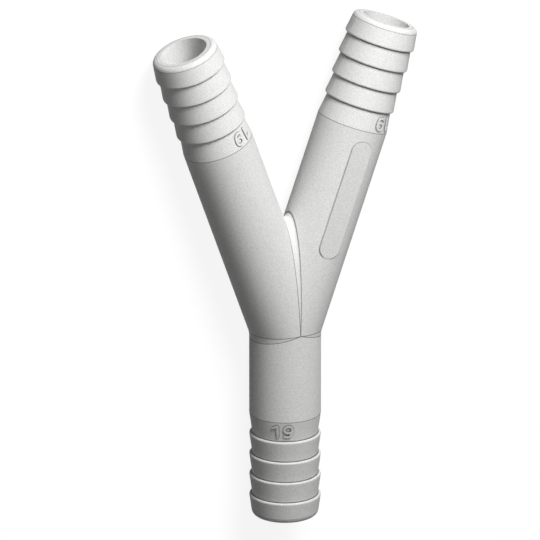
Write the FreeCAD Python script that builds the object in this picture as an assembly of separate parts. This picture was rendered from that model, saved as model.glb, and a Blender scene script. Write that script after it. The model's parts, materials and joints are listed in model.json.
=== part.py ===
import FreeCAD, Part
import math
import os

# Y connector for flexible hose, moulded in one piece. Millimetres.
# It lies flat: the stem points to -Y, the two arms spread towards +Y, and
# the side with the plate is up. The origin is the middle of its footprint
# on the surface it lies on.

# Tubes
TUBE_R = 9.9
BORE_R = 6.6
ARM_HALF_ANGLE = 20.0
ARM_LENGTH = 90.0
STEM_LENGTH = 55.0

# Barbed hose tail, the same on all three ends
NECK_LENGTH = 5.8
BARB_COUNT = 4
BARB_PITCH = 6.0
NOSE_LENGTH = 6.2
BARB_ANGLE = 8.0
CREST_ROUND = 0.45
NOSE_ROUND = 1.5

# Blends where the tubes meet
OUTER_BLEND = 6.0
CROTCH_BLEND = 1.5

# Flat plate that stands proud of one arm
PLATE_LENGTH = 34.0
PLATE_WIDTH = 6.0
PLATE_RISE = 0.1
PLATE_TO_TAIL = 3.0

# The tails' roundings are short cones that stay this close to the arc, so
# that the twelve barbs don't take most of the model's facets
FLAT_ERROR = 0.02

# How far the cutting bores run past the ends
CUT_OVERRUN = 1.0

# Worked out from the sizes above
ARM_RAD = math.radians(ARM_HALF_ANGLE)
LEAN = math.radians(BARB_ANGLE)
TAIL_LENGTH = NECK_LENGTH + (BARB_COUNT - 1) * BARB_PITCH + NOSE_LENGTH
ROOT_R = TUBE_R - NECK_LENGTH * math.tan(LEAN)
CREST_R = ROOT_R + BARB_PITCH * math.tan(LEAN)
NOSE_R = CREST_R - NOSE_LENGTH * math.tan(LEAN)

JUNCTION = FreeCAD.Vector(0.0, 0.0, 0.0)
UP = FreeCAD.Vector(0.0, 0.0, 1.0)
STEM_DIR = FreeCAD.Vector(0.0, -1.0, 0.0)
LEFT_DIR = FreeCAD.Vector(-math.sin(ARM_RAD), math.cos(ARM_RAD), 0.0)
RIGHT_DIR = FreeCAD.Vector(math.sin(ARM_RAD), math.cos(ARM_RAD), 0.0)
BRANCHES = [(STEM_LENGTH, STEM_DIR), (ARM_LENGTH, LEFT_DIR), (ARM_LENGTH, RIGHT_DIR)]


def rounding(centre, radius, first_angle, last_angle):
    """Points along a rounding, as few as keep the flats between them within FLAT_ERROR."""
    widest = 2 * math.acos(1 - FLAT_ERROR / radius)
    flats = math.ceil(abs(last_angle - first_angle) / widest)
    points = []
    for i in range(flats + 1):
        angle = first_angle + (last_angle - first_angle) * i / flats
        x = centre[0] + radius * math.cos(angle)
        r = centre[1] + radius * math.sin(angle)
        points.append((x, r))
    return points


def crest_centre(shoulder):
    """Centre of the rounding between a barb's shoulder and its cone."""
    x = shoulder + CREST_ROUND
    r = CREST_R - CREST_ROUND * math.tan(LEAN) - CREST_ROUND / math.cos(LEAN)
    return x, r


def crest_points(shoulder):
    """A barb, from its root up the flat shoulder and over the rounding onto the cone."""
    arc = rounding(crest_centre(shoulder), CREST_ROUND, math.pi, math.pi / 2 - LEAN)
    return [(shoulder, ROOT_R)] + arc


def nose_centre(length):
    """Centre of the rounding between the last cone and the end face."""
    x = length - NOSE_ROUND
    r = NOSE_R + NOSE_ROUND * math.tan(LEAN) - NOSE_ROUND / math.cos(LEAN)
    return x, r


def tail_points(length):
    """Half section of the tail from the plain tube to its end face: (distance, radius)."""
    neck = length - TAIL_LENGTH
    first_shoulder = neck + NECK_LENGTH
    points = [(neck, TUBE_R)]
    for i in range(BARB_COUNT):
        points += crest_points(first_shoulder + i * BARB_PITCH)
    points += rounding(nose_centre(length), NOSE_ROUND, math.pi / 2 - LEAN, 0.0)
    return points


def branch(length, direction):
    """Solid tube with its barbed tail, from the junction out to its end face."""
    half_section = [(0.0, 0.0), (0.0, TUBE_R)] + tail_points(length)
    half_section += [(length, 0.0), (0.0, 0.0)]
    corners = [FreeCAD.Vector(x, r, 0.0) for x, r in half_section]
    section = Part.Face(Part.makePolygon(corners))
    along = FreeCAD.Vector(1.0, 0.0, 0.0)
    solid = section.revolve(JUNCTION, along, 360.0)
    solid.Placement = FreeCAD.Placement(JUNCTION, FreeCAD.Rotation(along, direction))
    return solid


def miter_edges(shape, wanted):
    """The ellipses where two tubes meet whose middle point is wanted."""
    found = []
    for edge in shape.Edges:
        if edge.Degenerated or not isinstance(edge.Curve, Part.Ellipse):
            continue
        middle = edge.valueAt((edge.FirstParameter + edge.LastParameter) / 2)
        if wanted(middle):
            found.append(edge)
    return found


def is_outer(point):
    """On the bend between an arm and the stem."""
    return abs(point.x) > TUBE_R / 2 and point.y < 0.0


def is_crotch(point):
    """On the fork between the two arms."""
    return abs(point.x) < TUBE_R / 100 and point.y > 0.0


def plate():
    """Stadium-shaped block along the right arm, from its axis up to the plate's face."""
    end_r = PLATE_WIDTH / 2
    tail_start = ARM_LENGTH - TAIL_LENGTH
    far = tail_start - PLATE_TO_TAIL - end_r
    near = far - PLATE_LENGTH + PLATE_WIDTH
    side = RIGHT_DIR.cross(UP)
    far_middle = RIGHT_DIR * far
    near_middle = RIGHT_DIR * near
    edges = [
        Part.makeLine(near_middle + side * end_r, far_middle + side * end_r),
        Part.Arc(
            far_middle + side * end_r,
            far_middle + RIGHT_DIR * end_r,
            far_middle - side * end_r,
        ).toShape(),
        Part.makeLine(far_middle - side * end_r, near_middle - side * end_r),
        Part.Arc(
            near_middle - side * end_r,
            near_middle - RIGHT_DIR * end_r,
            near_middle + side * end_r,
        ).toShape(),
    ]
    face = Part.Face(Part.Wire(edges))
    return face.extrude(UP * (TUBE_R + PLATE_RISE))


def joined(solids):
    """One solid from several that overlap, with no seams left between them."""
    return solids[0].fuse(solids[1:]).removeSplitter().Solids[0]


def outside():
    """The three branches joined and blended, with the plate on the right arm."""
    shape = joined([branch(length, direction) for length, direction in BRANCHES])
    shape = shape.makeFillet(OUTER_BLEND, miter_edges(shape, is_outer)).Solids[0]
    shape = shape.makeFillet(CROTCH_BLEND, miter_edges(shape, is_crotch)).Solids[0]
    return shape.fuse(plate())


def passages():
    """The three bores, which meet at the junction and leave through the end faces."""
    bores = []
    for length, direction in BRANCHES:
        bores.append(Part.makeCylinder(BORE_R, length + CUT_OVERRUN, JUNCTION, direction))
    return joined(bores)


def resting_place():
    """Where the junction stands, so that the footprint is centred on the origin."""
    nose_x, nose_r = nose_centre(ARM_LENGTH)
    arm_reach = nose_x * math.cos(ARM_RAD) + nose_r * math.sin(ARM_RAD) + NOSE_ROUND
    crest_r = crest_centre(0.0)[1]
    height = max(TUBE_R, crest_r + CREST_ROUND)
    return FreeCAD.Vector(0.0, (STEM_LENGTH - arm_reach) / 2, height)


connector_body = outside().cut(passages()).removeSplitter().Solids[0]
connector_body.translate(resting_place())

os.makedirs("parts", exist_ok=True)
connector_body.exportStep("parts/connector_body.step")

print("junction at", resting_place())
print("valid", connector_body.isValid(), "closed", connector_body.isClosed())
print("faces", len(connector_body.Faces), "volume", round(connector_body.Volume, 3))
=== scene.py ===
import json
import math

import bmesh
import bpy
from mathutils import Matrix, Vector
from mathutils.geometry import delaunay_2d_cdt, interpolate_bezier


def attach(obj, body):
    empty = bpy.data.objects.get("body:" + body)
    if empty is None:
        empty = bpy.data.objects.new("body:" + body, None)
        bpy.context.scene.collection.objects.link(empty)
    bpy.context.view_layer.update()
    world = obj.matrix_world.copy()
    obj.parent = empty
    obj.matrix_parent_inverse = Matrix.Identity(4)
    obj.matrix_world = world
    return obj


# Looks of the Y connector: the finish of its plastic, the raised numerals on
# its three necks, and the studio. Metres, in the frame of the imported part.

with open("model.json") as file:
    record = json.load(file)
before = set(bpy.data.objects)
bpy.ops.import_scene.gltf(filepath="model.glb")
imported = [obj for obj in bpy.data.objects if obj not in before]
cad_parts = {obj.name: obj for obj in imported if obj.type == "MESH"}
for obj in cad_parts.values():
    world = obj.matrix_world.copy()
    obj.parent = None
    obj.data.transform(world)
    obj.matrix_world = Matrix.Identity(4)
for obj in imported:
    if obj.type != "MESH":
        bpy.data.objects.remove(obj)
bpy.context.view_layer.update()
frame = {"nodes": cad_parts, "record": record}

MM = 0.001
BODY = "root"
NODE = "connector_body"
SLOT = "moulded_plastic"

# The three branches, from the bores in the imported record
BORES = {m["name"]: m for m in frame["record"]["mounts"] if m["kind"] == "bore"}
STEM = BORES["stem_bore"]
LEFT_ARM = BORES["left_arm_bore"]
RIGHT_ARM = BORES["right_arm_bore"]
UP = Vector((0.0, 0.0, 1.0))


def reach(bore):
    """Length of a branch, from the junction to its end face."""
    return bore["dims"]["length_mm"] * MM


JUNCTION = Vector(STEM["pos_m"]) - Vector(STEM["axis"]) * reach(STEM)

# Camera: the junction's place in the 540 pixel frame, and the width that the
# frame takes in at a plane a little nearer to the camera than the junction
FRAME_PIXELS = 540
JUNCTION_PIXEL = (285.13, 325.64)
FRAME_WIDTH = 148.27 * MM
FRAME_ABOVE_JUNCTION = 10.0 * MM
LENS = 1300.0
SENSOR = 36.0
CLIP_START = 0.1
CLIP_END = 100.0
CAMERA_RIGHT = Vector((0.90145, 0.0, 0.43288)).normalized()
CAMERA_BACK = Vector((-0.40710, 0.33996, 0.84777)).normalized()

# Hose tail, as in the part: the neck cone that carries the numerals, and the
# rounding between the last cone and the flat ring round the bore's mouth
TUBE_R = 9.9 * MM
TAIL_LENGTH = 30.0 * MM
NECK_LENGTH = 5.8 * MM
LEAN = math.radians(8.0)
NOSE_ROUND = 1.5 * MM
RING_R = 7.75 * MM
NOSE_R = RING_R + NOSE_ROUND * math.cos(LEAN)
NOSE_LENGTH = NOSE_ROUND * (1.0 - math.sin(LEAN))

# Blends where two tubes meet, as in the part
FORK_BLEND = 1.5 * MM
OUTER_BLEND = 6.0 * MM
BLENDS = [
    (LEFT_ARM, RIGHT_ARM, FORK_BLEND),
    (STEM, LEFT_ARM, OUTER_BLEND),
    (STEM, RIGHT_ARM, OUTER_BLEND),
]

# Numerals, laid out flat in millimetres: the drop of the one's flag, and where
# the nine's tail is lowest and how high its tip stands
NUMERAL_HEIGHT = 3.8
NUMERAL_GAP = 1.25
STROKE = 0.64
ONE_WIDTH = 2.05
FLAG_DROP = 0.95
NINE_WIDTH = 2.8
BOWL_HEIGHT = 2.6
TAIL_LOW = 0.46 * NINE_WIDTH
TAIL_TIP = 0.62

# How the nine's tail bends: the curve handles at the bowl, at the tail's
# lowest point on both sides, and at its tip
BOWL_HANDLE = Vector((0.0, -1.35))
LOW_RIGHT_HANDLE = Vector((0.75, 0.0))
LOW_LEFT_HANDLE = Vector((-0.4, 0.0))
TIP_HANDLE = Vector((0.14, -0.3))

# How finely the numerals are cut up, how near points merge, and the kind of
# triangulation that fills the whole hull
UPRIGHT_STEPS = 6
BOWL_STEPS = 36
TAIL_POINTS = 14
CURL_POINTS = 8
CAP_STEPS = 8
MERGE_DISTANCE = 0.01
WHOLE_HULL = 0

# Numerals, on the neck
NUMERAL_RISE = 0.3 * MM
NUMERAL_SINK = 0.3 * MM
NUMERAL_MARGIN = 0.8 * MM
NUMERAL_START = math.radians(-48.6)

# Plastic: a mottle in its colour and gloss, a grain and slightly rounded edges
PLASTIC_COLOUR = (0.74, 0.74, 0.73)
PLASTIC_ROUGHNESS = 0.66
ROUGHNESS_SPREAD = 0.06
MOTTLE_SCALE = 2400.0
MOTTLE_DETAIL = 1.0
MOTTLE_RANGE = (0.3, 0.7)
TINT_RANGE = (0.91, 1.09)
GRAIN_SCALE = 1600.0
GRAIN_DETAIL = 2.0
GRAIN_STRENGTH = 0.5
GRAIN_HEIGHT = 0.06 * MM
EDGE_ROUND = 0.07 * MM
EDGE_SAMPLES = 6

# Painted shade in the creases: how open a place is, and the painted shade that it gets
CREASE_REACH = 0.42 * MM
CREASE_SAMPLES = 12
OPEN_RANGE = (0.5, 0.97)
CREASE_SHADE_RANGE = (0.03, 1.0)

# Fine darker lines, as the photograph shows them: their width, how far off the
# surface's nominal place they still show, and their shades
LINE_WIDTH = 0.24 * MM
RING_MARGIN = 0.3 * MM
TUBE_MARGIN = 0.06 * MM
NECK_SHADE = 0.45
NOSE_SHADE = 0.6
BLEND_SHADE = 0.34

# Studio: the floor's size and its greys, the world's strength away from the
# backdrop and on it, and the lamps' azimuths, elevations and weights
FLOOR_SIZE = 6.0
FLOOR_DROP = 0.02 * MM
FLOOR_GLOW = 0.88
SHOWN_FLOOR_GREY = 0.2
HIDDEN_FLOOR_GREY = 0.1
WORLD_RANGE = (0.01, 1.0)
LAMP_SIZE = 0.3
LAMP_DISTANCE = 0.6
LAMPS = [
    ("key", 85.0, 35.0, 1.05),
    ("left_fill", 180.0, 65.0, 0.11),
    ("right_fill", 60.0, 50.0, 0.12),
]

UNIT_RANGE = (0.0, 1.0)


def make_camera():
    """Long-lens camera with the photograph's angle and framing."""
    back = CAMERA_BACK
    right = (CAMERA_RIGHT - back * CAMERA_RIGHT.dot(back)).normalized()
    up = back.cross(right)
    per_pixel = FRAME_WIDTH / FRAME_PIXELS
    across = (FRAME_PIXELS / 2 - JUNCTION_PIXEL[0]) * per_pixel
    upward = (JUNCTION_PIXEL[1] - FRAME_PIXELS / 2) * per_pixel
    target = JUNCTION + right * across + up * upward
    distance = FRAME_WIDTH * LENS / SENSOR
    data = bpy.data.cameras.new("camera")
    data.lens = LENS
    data.sensor_width = SENSOR
    data.clip_start = CLIP_START
    data.clip_end = CLIP_END
    camera = bpy.data.objects.new("camera", data)
    bpy.context.scene.collection.objects.link(camera)
    turn = Matrix((right, up, back)).transposed().to_4x4()
    place = target + back * (distance + FRAME_ABOVE_JUNCTION)
    camera.matrix_world = Matrix.Translation(place) @ turn
    bpy.context.scene.camera = camera


def number_step(tree, operation, *values):
    """Result of a maths node on plain numbers and on other nodes' outputs."""
    node = tree.nodes.new("ShaderNodeMath")
    node.operation = operation
    for socket, value in zip(node.inputs, values):
        if isinstance(value, bpy.types.NodeSocket):
            tree.links.new(value, socket)
        else:
            socket.default_value = value
    return node.outputs["Value"]


def vector_step(tree, operation, output, constant):
    """Vector maths node on another node's output and a constant vector."""
    node = tree.nodes.new("ShaderNodeVectorMath")
    node.operation = operation
    node.inputs[1].default_value = constant
    tree.links.new(output, node.inputs[0])
    return node


def mapped(tree, value, from_range, to_range):
    """A value carried from one range over to another, and held inside it."""
    node = tree.nodes.new("ShaderNodeMapRange")
    node.inputs["From Min"].default_value = from_range[0]
    node.inputs["From Max"].default_value = from_range[1]
    node.inputs["To Min"].default_value = to_range[0]
    node.inputs["To Max"].default_value = to_range[1]
    tree.links.new(value, node.inputs["Value"])
    return node.outputs["Result"]


def noise(tree, place, scale, detail):
    """Noise through the part, from 0 to 1."""
    node = tree.nodes.new("ShaderNodeTexNoise")
    node.inputs["Scale"].default_value = scale
    node.inputs["Detail"].default_value = detail
    tree.links.new(place, node.inputs["Vector"])
    return node.outputs["Fac"]


def from_axis(tree, place, bore):
    """Distance from the junction along a branch, and from the branch's axis."""
    axis = Vector(bore["axis"])
    offset = vector_step(tree, "SUBTRACT", place, JUNCTION).outputs["Vector"]
    along = vector_step(tree, "DOT_PRODUCT", offset, axis).outputs["Value"]
    across = vector_step(tree, "CROSS_PRODUCT", offset, axis).outputs["Vector"]
    radius = tree.nodes.new("ShaderNodeVectorMath")
    radius.operation = "LENGTH"
    tree.links.new(across, radius.inputs[0])
    return along, radius.outputs["Value"]


def tail_lines(tree, place, bore):
    """Shades of the fine lines round a tail: at its neck, and at both sides of its rounded end."""
    along, radius = from_axis(tree, place, bore)
    end = reach(bore)
    rings = [
        (end - TAIL_LENGTH, LINE_WIDTH / 2, TUBE_R, RING_MARGIN, NECK_SHADE),
        (end - NOSE_LENGTH, LINE_WIDTH / 2, NOSE_R, RING_MARGIN, NOSE_SHADE),
        (end, RING_MARGIN, RING_R, LINE_WIDTH / 2, NOSE_SHADE),
    ]
    shades = []
    for t, t_margin, r, r_margin, shade in rings:
        at_t = number_step(tree, "COMPARE", along, t, t_margin)
        at_r = number_step(tree, "COMPARE", radius, r, r_margin)
        on_line = number_step(tree, "MULTIPLY", at_t, at_r)
        shades.append(mapped(tree, on_line, UNIT_RANGE, (1.0, shade)))
    return shades


def blend_line(tree, place, tube, other, blend):
    """Shade of the fine line on a tube where its blend into another tube ends."""
    axis = Vector(tube["axis"])
    other_axis = Vector(other["axis"])
    mitre = (axis - other_axis).normalized()
    outward = (axis + other_axis).normalized()
    # The ball that rolls between two equal tubes touches each along a plane cut
    share = blend / TUBE_R
    cut = (mitre * (1.0 + share) - axis * mitre.dot(axis) * share).normalized()
    height = vector_step(tree, "DOT_PRODUCT", place, cut).outputs["Value"]
    side = vector_step(tree, "DOT_PRODUCT", place, outward).outputs["Value"]
    radius = from_axis(tree, place, tube)[1]
    at_cut = number_step(tree, "COMPARE", height, JUNCTION.dot(cut), LINE_WIDTH / 2)
    on_tube = number_step(tree, "COMPARE", radius, TUBE_R, TUBE_MARGIN)
    beyond = number_step(tree, "GREATER_THAN", side, JUNCTION.dot(outward))
    on_line = number_step(tree, "MULTIPLY", at_cut, on_tube)
    on_line = number_step(tree, "MULTIPLY", on_line, beyond)
    return mapped(tree, on_line, UNIT_RANGE, (1.0, BLEND_SHADE))


def plastic_colour(tree, place, mottle):
    """Light grey with a mottle, with painted shade in the creases, and darker along the fine
    lines.
    """
    tint = mapped(tree, mottle, MOTTLE_RANGE, TINT_RANGE)
    # Painted shade: the colour darkens where the surface is hemmed in, as in creases and at the
    # numerals' feet
    hollow = tree.nodes.new("ShaderNodeAmbientOcclusion")
    hollow.samples = CREASE_SAMPLES
    hollow.inputs["Distance"].default_value = CREASE_REACH
    shades = [mapped(tree, hollow.outputs["AO"], OPEN_RANGE, CREASE_SHADE_RANGE)]
    for bore in BORES.values():
        shades += tail_lines(tree, place, bore)
    for first, second, blend in BLENDS:
        shades.append(blend_line(tree, place, first, second, blend))
        shades.append(blend_line(tree, place, second, first, blend))
    level = tint
    for shade in shades:
        level = number_step(tree, "MULTIPLY", level, shade)
    colour = tree.nodes.new("ShaderNodeVectorMath")
    colour.operation = "SCALE"
    colour.inputs[0].default_value = PLASTIC_COLOUR
    tree.links.new(level, colour.inputs["Scale"])
    return colour.outputs["Vector"]


def plastic_normal(tree, place):
    """Surface direction with a fine grain, over slightly rounded edges."""
    edge = tree.nodes.new("ShaderNodeBevel")
    edge.samples = EDGE_SAMPLES
    edge.inputs["Radius"].default_value = EDGE_ROUND
    bump = tree.nodes.new("ShaderNodeBump")
    bump.inputs["Strength"].default_value = GRAIN_STRENGTH
    bump.inputs["Distance"].default_value = GRAIN_HEIGHT
    tree.links.new(noise(tree, place, GRAIN_SCALE, GRAIN_DETAIL), bump.inputs["Height"])
    tree.links.new(edge.outputs["Normal"], bump.inputs["Normal"])
    return bump.outputs["Normal"]


def plastic_material(name):
    """Light grey moulded plastic with a matt finish."""
    material = bpy.data.materials.new(name)
    material.use_nodes = True
    tree = material.node_tree
    shader = tree.nodes["Principled BSDF"]
    place = tree.nodes.new("ShaderNodeTexCoord").outputs["Object"]
    mottle = noise(tree, place, MOTTLE_SCALE, MOTTLE_DETAIL)
    dull = PLASTIC_ROUGHNESS + ROUGHNESS_SPREAD
    glossy = PLASTIC_ROUGHNESS - ROUGHNESS_SPREAD
    roughness = mapped(tree, mottle, UNIT_RANGE, (glossy, dull))
    tree.links.new(plastic_colour(tree, place, mottle), shader.inputs["Base Color"])
    tree.links.new(roughness, shader.inputs["Roughness"])
    tree.links.new(plastic_normal(tree, place), shader.inputs["Normal"])
    return material


def arc(centre, radii, start, end, steps):
    """Points on an ellipse from one angle to another, in degrees."""
    points = []
    for i in range(steps + 1):
        angle = math.radians(start + (end - start) * i / steps)
        points.append(centre + Vector((radii[0] * math.cos(angle), radii[1] * math.sin(angle))))
    return points


def stroke(line):
    """Loops round a line of even width: two for a ring, else one with round ends."""
    half = STROKE / 2
    ring = (line[0] - line[-1]).length < MERGE_DISTANCE
    left = []
    right = []
    for i, point in enumerate(line):
        before = line[i - 1] if i > 0 else line[-2 if ring else 0]
        after = line[i + 1] if i < len(line) - 1 else line[1 if ring else -1]
        run = (after - before).normalized()
        offset = Vector((-run.y, run.x)) * half
        left.append(point + offset)
        right.append(point - offset)
    if ring:
        return [left[:-1], right[:-1]]
    caps = []
    for end, inner in ((line[-1], line[-2]), (line[0], line[1])):
        facing = math.degrees(math.atan2(end.y - inner.y, end.x - inner.x))
        caps.append(arc(end, (half, half), facing + 90, facing - 90, CAP_STEPS)[1:-1])
    return [left + caps[0] + right[::-1] + caps[1]]


def distance_to(line, point):
    """Shortest distance from a point to a line through several points."""
    nearest = []
    for a, b in zip(line, line[1:]):
        run = b - a
        factor = (point - a).dot(run) / run.length_squared
        nearest.append((a + run * min(max(factor, 0.0), 1.0) - point).length)
    return min(nearest)


def numeral_one():
    """Middle lines of an upright with a flag. Its left edge is at 0 and its foot at 0."""
    half = STROKE / 2
    top = Vector((ONE_WIDTH - half, NUMERAL_HEIGHT - half))
    foot = Vector((ONE_WIDTH - half, half))
    flag = Vector((half, NUMERAL_HEIGHT - FLAG_DROP))
    upright = [top.lerp(foot, i / UPRIGHT_STEPS) for i in range(UPRIGHT_STEPS + 1)]
    return [upright, [top, (top + flag) / 2, flag]]


def numeral_nine():
    """Middle lines of a round bowl and of a tail that curls to the left under it."""
    half = STROKE / 2
    middle = Vector((NINE_WIDTH / 2, NUMERAL_HEIGHT - BOWL_HEIGHT / 2))
    radii = (NINE_WIDTH / 2 - half, BOWL_HEIGHT / 2 - half)
    bowl = arc(middle, radii, 0, 360, BOWL_STEPS)
    side = bowl[0]
    low = Vector((TAIL_LOW, half))
    tip = Vector((half, TAIL_TIP))
    tail = interpolate_bezier(side, side + BOWL_HANDLE, low + LOW_RIGHT_HANDLE, low, TAIL_POINTS)
    curl = interpolate_bezier(low, low + LOW_LEFT_HANDLE, tip + TIP_HANDLE, tip, CURL_POINTS)
    return [bowl, [p.to_2d() for p in tail[:-1] + curl]]


def numeral_sheet():
    """The numerals laid out flat, one beside the other: points and triangles, in millimetres."""
    lines = []
    start = Vector((0.0, 0.0))
    for numeral, width in ((numeral_one(), ONE_WIDTH), (numeral_nine(), NINE_WIDTH)):
        lines += [[point + start for point in line] for line in numeral]
        start.x += width + NUMERAL_GAP
    corners = []
    edges = []
    for line in lines:
        for loop in stroke(line):
            first = len(corners)
            corners += loop
            for i in range(len(loop)):
                edges.append((first + i, first + (i + 1) % len(loop)))
    filled = delaunay_2d_cdt(corners, edges, [], WHOLE_HULL, MERGE_DISTANCE, False)
    points = filled[0]
    triangles = []
    for triangle in filled[2]:
        middle = (points[triangle[0]] + points[triangle[1]] + points[triangle[2]]) / 3
        if min(distance_to(line, middle) for line in lines) < STROKE / 2:
            triangles.append(triangle)
    return points, triangles


def flat_numerals():
    """Numerals lying flat, as thick as their sink and rise, with the surface at height 0."""
    points, triangles = numeral_sheet()
    shape = bmesh.new()
    corners = [shape.verts.new((p.x * MM, p.y * MM, -NUMERAL_SINK)) for p in points]
    for triangle in triangles:
        shape.faces.new([corners[i] for i in triangle])
    unused = [v for v in shape.verts if not v.link_faces]
    bmesh.ops.delete(shape, geom=unused, context="VERTS")
    bmesh.ops.dissolve_degenerate(shape, dist=MERGE_DISTANCE * MM, edges=shape.edges)
    made = bmesh.ops.extrude_face_region(shape, geom=shape.faces[:])["geom"]
    top = [part for part in made if isinstance(part, bmesh.types.BMVert)]
    bmesh.ops.translate(shape, verts=top, vec=(0.0, 0.0, NUMERAL_SINK + NUMERAL_RISE))
    return shape


def wrap_round_neck(shape, bore):
    """Bends flat numerals round a neck cone, with their tops towards the junction."""
    along = Vector(bore["axis"])
    side = UP.cross(along).normalized()
    neck_start = reach(bore) - TAIL_LENGTH
    middle_r = TUBE_R - NECK_LENGTH / 2 * math.tan(LEAN)
    for v in shape.verts:
        t = neck_start + NUMERAL_MARGIN + NUMERAL_HEIGHT * MM - v.co.y
        angle = NUMERAL_START + v.co.x / middle_r
        surface = TUBE_R - (t - neck_start) * math.tan(LEAN)
        outward = UP * math.cos(angle) + side * math.sin(angle)
        v.co = JUNCTION + along * t + outward * (surface + v.co.z)


def ordered_faces(shape):
    """Corner numbers of each face, in an order that is the same on each run."""
    shape.verts.index_update()
    faces = []
    for face in shape.faces:
        corners = [v.index for v in face.verts]
        first = corners.index(min(corners))
        faces.append(corners[first:] + corners[:first])
    return sorted(faces)


def numerals(name, bore):
    """Raised numerals on the neck of a branch."""
    shape = flat_numerals()
    wrap_round_neck(shape, bore)
    bmesh.ops.recalc_face_normals(shape, faces=shape.faces)
    if shape.calc_volume(signed=True) < 0.0:
        bmesh.ops.reverse_faces(shape, faces=shape.faces)
    mesh = bpy.data.meshes.new(name)
    mesh.from_pydata([v.co for v in shape.verts], [], ordered_faces(shape))
    shape.free()
    piece = bpy.data.objects.new(name, mesh)
    bpy.context.scene.collection.objects.link(piece)
    return piece


def lamp_direction(azimuth, elevation):
    """Unit vector towards a lamp, in degrees from +X towards +Y and above the floor."""
    a = math.radians(azimuth)
    e = math.radians(elevation)
    return Vector((math.cos(e) * math.cos(a), math.cos(e) * math.sin(a), math.sin(e)))


def area_light(name, direction, weight):
    """Disc lamp that gives a grey surface facing it about its own colour times weight."""
    data = bpy.data.lights.new(name, "AREA")
    data.shape = "DISK"
    data.size = LAMP_SIZE
    data.energy = math.pi ** 2 * LAMP_DISTANCE ** 2 * weight
    lamp = bpy.data.objects.new(name, data)
    bpy.context.scene.collection.objects.link(lamp)
    lamp.location = JUNCTION + direction * LAMP_DISTANCE
    lamp.rotation_mode = "QUATERNION"
    lamp.rotation_quaternion = (-direction).to_track_quat("-Z", "Y")


def backdrop_ray(tree):
    """1 for rays that show the backdrop: to the camera, off a gloss or through glass."""
    path = tree.nodes.new("ShaderNodeLightPath")
    shown = path.outputs["Is Camera Ray"]
    for kind in ("Is Glossy Ray", "Is Transmission Ray"):
        shown = number_step(tree, "MAXIMUM", shown, path.outputs[kind])
    return shown


def matt_grey(tree, level):
    """Diffuse shader of a plain grey."""
    node = tree.nodes.new("ShaderNodeBsdfDiffuse")
    node.inputs["Color"].default_value = (level, level, level, 1.0)
    return node.outputs["BSDF"]


def floor_material():
    """Glowing white to rays that show the floor, dull grey to light that bounces off it."""
    material = bpy.data.materials.new("floor")
    material.use_nodes = True
    tree = material.node_tree
    tree.nodes.clear()
    glow = tree.nodes.new("ShaderNodeEmission")
    glow.inputs["Strength"].default_value = FLOOR_GLOW
    shown = tree.nodes.new("ShaderNodeAddShader")
    tree.links.new(matt_grey(tree, SHOWN_FLOOR_GREY), shown.inputs[0])
    tree.links.new(glow.outputs["Emission"], shown.inputs[1])
    either = tree.nodes.new("ShaderNodeMixShader")
    tree.links.new(backdrop_ray(tree), either.inputs[0])
    tree.links.new(matt_grey(tree, HIDDEN_FLOOR_GREY), either.inputs[1])
    tree.links.new(shown.outputs["Shader"], either.inputs[2])
    out = tree.nodes.new("ShaderNodeOutputMaterial")
    tree.links.new(either.outputs["Shader"], out.inputs["Surface"])
    return material


def make_floor():
    """Large plain floor just under the part."""
    bpy.ops.mesh.primitive_plane_add(size=FLOOR_SIZE, location=(0.0, 0.0, -FLOOR_DROP))
    floor = bpy.context.object
    floor.name = "floor"
    floor.data.materials.append(floor_material())


def make_world():
    """World that shows white as a backdrop and lights dimly."""
    world = bpy.data.worlds.new("studio")
    world.use_nodes = True
    bpy.context.scene.world = world
    tree = world.node_tree
    background = tree.nodes["Background"]
    background.inputs["Color"].default_value = (1.0, 1.0, 1.0, 1.0)
    strength = mapped(tree, backdrop_ray(tree), UNIT_RANGE, WORLD_RANGE)
    tree.links.new(strength, background.inputs["Strength"])


make_camera()
plastic = plastic_material(SLOT)
body = frame["nodes"][NODE]
body.data.materials.clear()
body.data.materials.append(plastic)
for title, bore in (("stem", STEM), ("left_arm", LEFT_ARM), ("right_arm", RIGHT_ARM)):
    piece = numerals(title + "_numerals", bore)
    piece.data.materials.append(plastic)
    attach(piece, BODY)

make_floor()
make_world()
for name, azimuth, elevation, weight in LAMPS:
    area_light(name, lamp_direction(azimuth, elevation), weight)
bpy.context.scene.view_settings.view_transform = "Standard"
